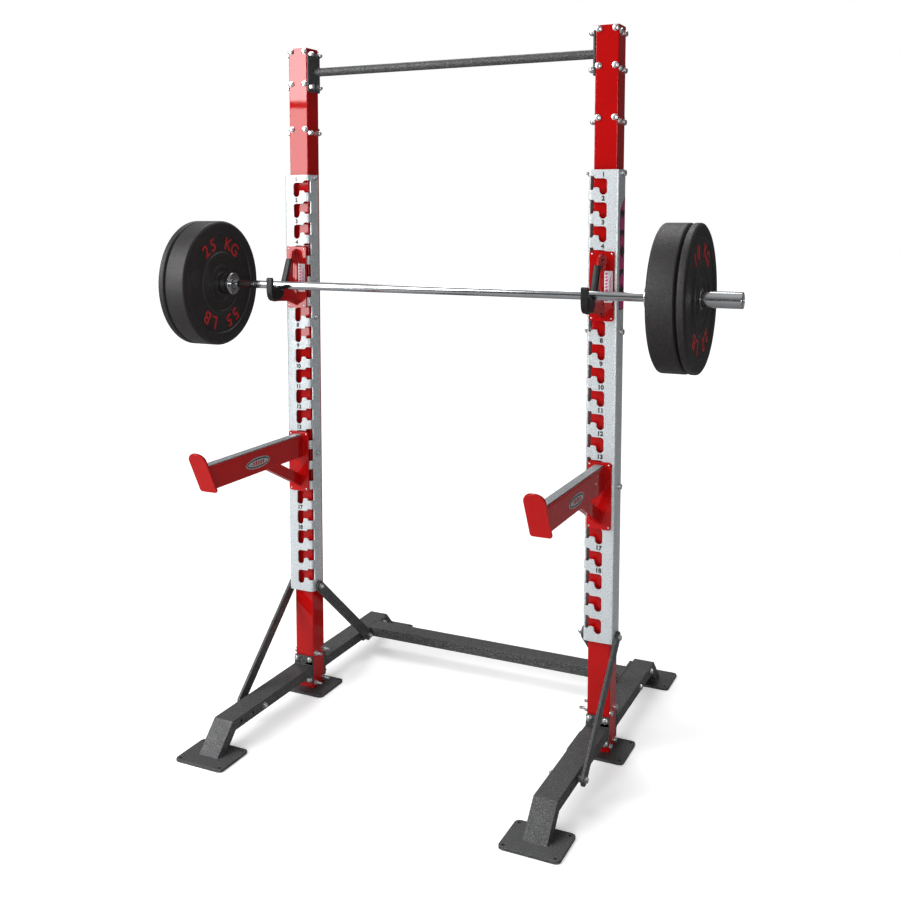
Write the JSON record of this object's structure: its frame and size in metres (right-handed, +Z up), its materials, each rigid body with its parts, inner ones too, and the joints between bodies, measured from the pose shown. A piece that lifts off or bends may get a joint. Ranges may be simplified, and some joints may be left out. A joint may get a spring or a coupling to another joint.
{
  "type": "half rack with barbell",
  "caption": "Free-standing half rack with slotted hook rails, lift-off J-cups and safety catch arms, holding a barbell loaded with rubber bumper plates.",
  "frame": {"origin": "on the floor, at the middle of the object's box; the barbell's middle is above the X = 0 plane", "axes": "+Z up; +X along the barbell, to the right of a lifter who stands at -Y and faces the rack; -Y is the side where the bar and the safety arms are"},
  "size_m": [2.078, 1.3944, 2.374],
  "materials": {
    "red_powder_coat": "gloss powder coat",
    "charcoal_powder_coat": "textured satin powder coat",
    "rail_paint": "hammered silver-grey paint",
    "wear_strip_paint": "hammered grey paint, scuffed",
    "zinc_plate": "bright zinc plate",
    "black_nylon": "moulded, slightly textured",
    "bar_chrome": "polished hard chrome",
    "bush_bronze": "machined",
    "crumb_rubber": "moulded crumb rubber with fine red flecks",
    "hub_steel": "turned steel"
  },
  "bodies": {
    "rack": {"upright_left": "red_powder_coat", "slotted_rail_left": "rail_paint", "centre_foot_left": "charcoal_powder_coat", "front_leg_left": "charcoal_powder_coat", "rear_leg_left": "charcoal_powder_coat", "front_brace_left": "charcoal_powder_coat", "rear_brace_left": "charcoal_powder_coat", "brace_top_bolt_left": "zinc_plate", "front_brace_bolt_left": "zinc_plate", "rear_brace_bolt_left": "zinc_plate", "cross_member_bolt_left": "zinc_plate", "rail_bolt_left_1": "zinc_plate", "rail_bolt_left_2": "zinc_plate", "rail_bolt_left_3": "zinc_plate", "upright_right": "red_powder_coat", "slotted_rail_right": "rail_paint", "centre_foot_right": "charcoal_powder_coat", "front_leg_right": "charcoal_powder_coat", "rear_leg_right": "charcoal_powder_coat", "front_brace_right": "charcoal_powder_coat", "rear_brace_right": "charcoal_powder_coat", "brace_top_bolt_right": "zinc_plate", "front_brace_bolt_right": "zinc_plate", "rear_brace_bolt_right": "zinc_plate", "cross_member_bolt_right": "zinc_plate", "rail_bolt_right_1": "zinc_plate", "rail_bolt_right_2": "zinc_plate", "rail_bolt_right_3": "zinc_plate", "cross_member": "charcoal_powder_coat", "pull_up_bar": "charcoal_powder_coat"},
    "jcup_left": {"jcup_bracket_left": "red_powder_coat", "jcup_guard_left": "black_nylon", "jcup_liner_left": "black_nylon"},
    "jcup_right": {"jcup_bracket_right": "red_powder_coat", "jcup_guard_right": "black_nylon", "jcup_liner_right": "black_nylon"},
    "arm_left": {"safety_arm_left": "red_powder_coat", "arm_wear_strip_left": "wear_strip_paint"},
    "arm_right": {"safety_arm_right": "red_powder_coat", "arm_wear_strip_right": "wear_strip_paint"},
    "barbell": {"bar_shaft": "bar_chrome", "retaining_ring_left": "zinc_plate", "retaining_ring_right": "zinc_plate"},
    "sleeve_left": {"bar_sleeve_left": "bar_chrome", "inner_bush_left": "bush_bronze", "outer_bush_left": "bush_bronze", "sleeve_cap_left": "zinc_plate"},
    "thick_plate_left": {"thick_plate_left": "crumb_rubber", "thick_plate_hub_left": "hub_steel"},
    "thin_plate_left": {"thin_plate_left": "crumb_rubber", "thin_plate_hub_left": "hub_steel"},
    "sleeve_right": {"bar_sleeve_right": "bar_chrome", "inner_bush_right": "bush_bronze", "outer_bush_right": "bush_bronze", "sleeve_cap_right": "zinc_plate"},
    "thick_plate_right": {"thick_plate_right": "crumb_rubber", "thick_plate_hub_right": "hub_steel"},
    "thin_plate_right": {"thin_plate_right": "crumb_rubber", "thin_plate_hub_right": "hub_steel"}
  },
  "joints": [
    {"name": "jcup_left_lift", "type": "slide", "parent": "rack", "child": "jcup_left", "axis": [0, 0, 1], "range_m": [0, 0.025]},
    {"name": "jcup_right_lift", "type": "slide", "parent": "rack", "child": "jcup_right", "axis": [0, 0, 1], "range_m": [0, 0.025]},
    {"name": "arm_left_lift", "type": "slide", "parent": "rack", "child": "arm_left", "axis": [0, 0, 1], "range_m": [0, 0.025]},
    {"name": "arm_right_lift", "type": "slide", "parent": "rack", "child": "arm_right", "axis": [0, 0, 1], "range_m": [0, 0.025]},
    {"name": "barbell_unrack", "type": "slide", "parent": "jcup_left", "child": "barbell", "axis": [0, 0, 1], "range_m": [0, 0.2]},
    {"name": "sleeve_left_spin", "type": "hinge", "parent": "barbell", "child": "sleeve_left", "pos_m": [-0.9, -0.172, 1.5354], "axis": [1, 0, 0], "continuous": true},
    {"name": "thick_plate_left_slide", "type": "slide", "parent": "sleeve_left", "child": "thick_plate_left", "axis": [-1, 0, 0], "range_m": [0, 0.24]},
    {"name": "thin_plate_left_slide", "type": "slide", "parent": "thick_plate_left", "child": "thin_plate_left", "axis": [-1, 0, 0], "range_m": [0, 0.16]},
    {"name": "sleeve_right_spin", "type": "hinge", "parent": "barbell", "child": "sleeve_right", "pos_m": [0.9, -0.172, 1.5354], "axis": [1, 0, 0], "continuous": true},
    {"name": "thick_plate_right_slide", "type": "slide", "parent": "sleeve_right", "child": "thick_plate_right", "axis": [1, 0, 0], "range_m": [0, 0.24]},
    {"name": "thin_plate_right_slide", "type": "slide", "parent": "thick_plate_right", "child": "thin_plate_right", "axis": [1, 0, 0], "range_m": [0, 0.16]}
  ],
  "couplings": [
    {"joint": "jcup_right_lift", "follows": "jcup_left_lift", "ratio": 1}
  ]
}
